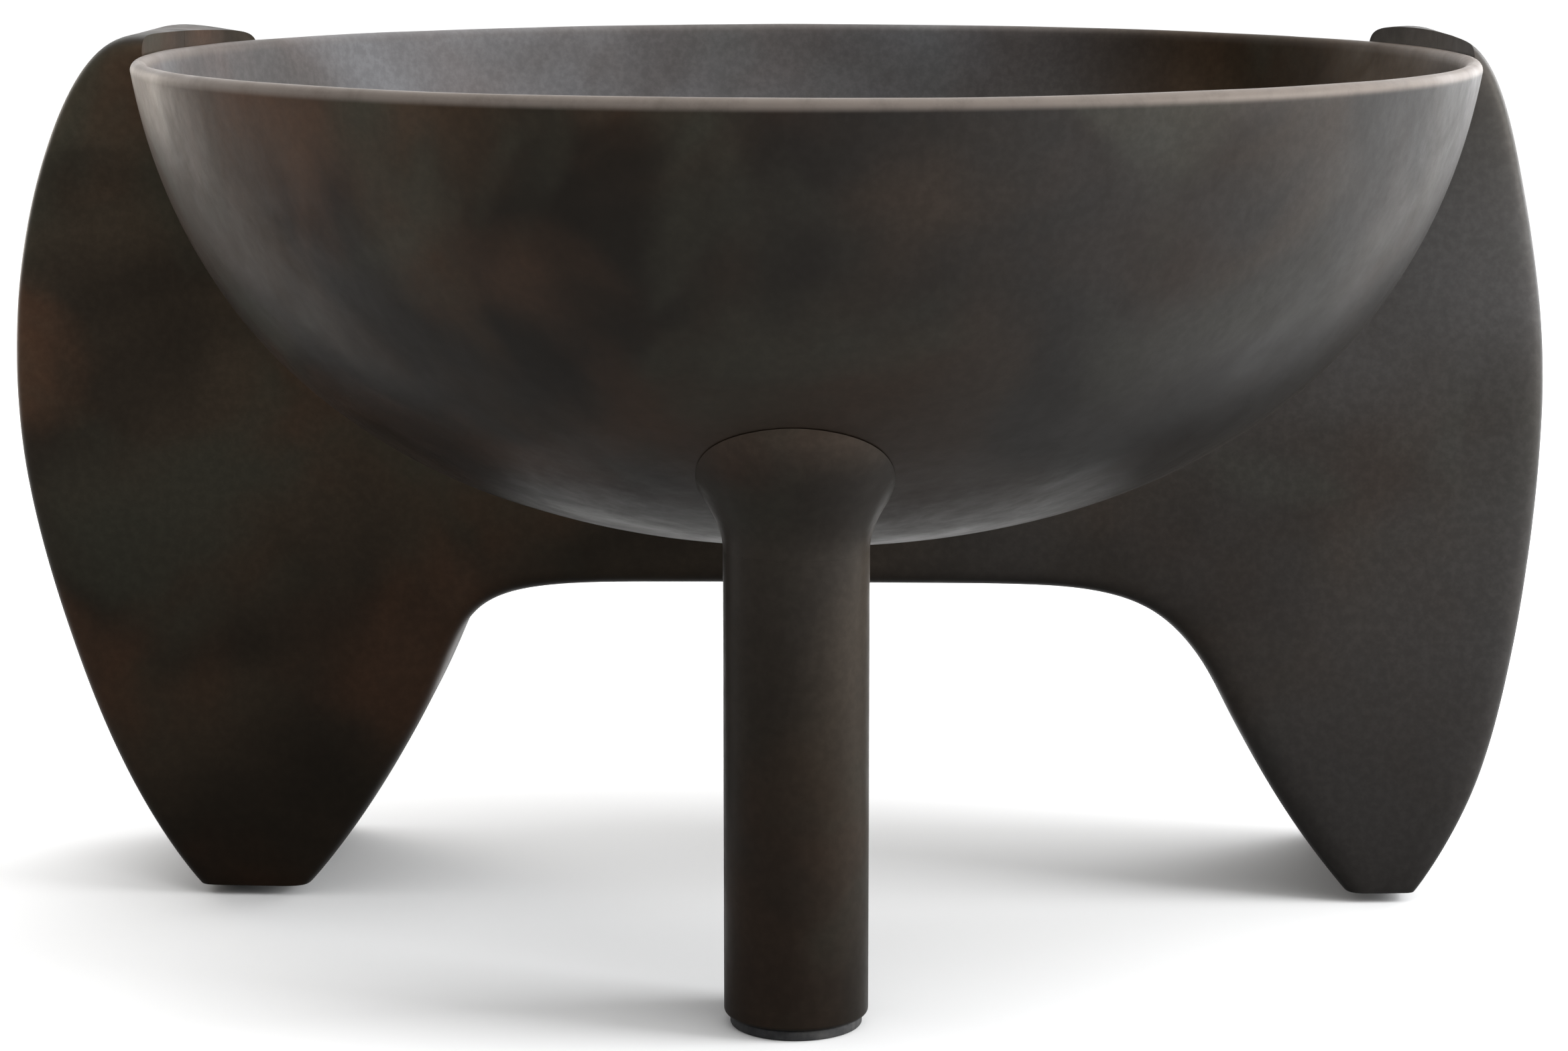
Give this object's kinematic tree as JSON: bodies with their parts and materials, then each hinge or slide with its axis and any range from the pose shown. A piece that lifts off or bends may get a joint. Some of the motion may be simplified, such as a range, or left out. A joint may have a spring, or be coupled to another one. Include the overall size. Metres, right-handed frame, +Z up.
{
  "type": "three-legged fire bowl hearth",
  "caption": "Round cast hearth bowl with a rounded lip, carried by a thick soft-edged rear yoke and one flared round front leg, with a lift-out fire grate.",
  "frame": {"origin": "on the floor, midway across the yoke's width and under the bowl's axis in depth; the bowl's axis is vertical at X = 0.0172", "axes": "+Z up, +X to the right along the yoke when seen from the front leg's side, front leg towards -Y"},
  "size_m": [0.8912, 0.76, 0.5089],
  "materials": {
    "patina": "satin dark bronze-brown patina, mottled",
    "raw_iron": "raw grey casting",
    "steel": "blackened steel",
    "zinc": "zinc plated",
    "rubber": "matte black"
  },
  "bodies": {
    "hearth": {"drain_nut": "zinc", "drain_plug": "steel", "fire_bowl": "patina", "front_glide": "rubber", "front_leg": "patina", "glide_screw_left_1": "zinc", "glide_screw_left_2": "zinc", "glide_screw_right_1": "zinc", "glide_screw_right_2": "zinc", "leg_collar": "patina", "leg_foot_plug": "patina", "leg_tie_nut": "zinc", "leg_tie_rod": "steel", "rear_glide_left": "rubber", "rear_glide_right": "rubber", "saddle_bolt_left_1": "steel", "saddle_bolt_left_2": "steel", "saddle_bolt_right_1": "steel", "saddle_bolt_right_2": "steel", "saddle_nut_left_1": "zinc", "saddle_nut_left_2": "zinc", "saddle_nut_right_1": "zinc", "saddle_nut_right_2": "zinc", "saddle_strap_left": "steel", "saddle_strap_right": "steel", "yoke_back_shell": "patina", "yoke_front_shell": "patina", "yoke_screw_left_lower": "steel", "yoke_screw_left_upper": "steel", "yoke_screw_right_lower": "steel", "yoke_screw_right_upper": "steel"},
    "grate": {"fire_grate": "raw_iron"}
  },
  "joints": [
    {"name": "grate_lift", "type": "slide", "parent": "hearth", "child": "grate", "axis": [0, 0, 1], "range_m": [0, 0.28]}
  ]
}
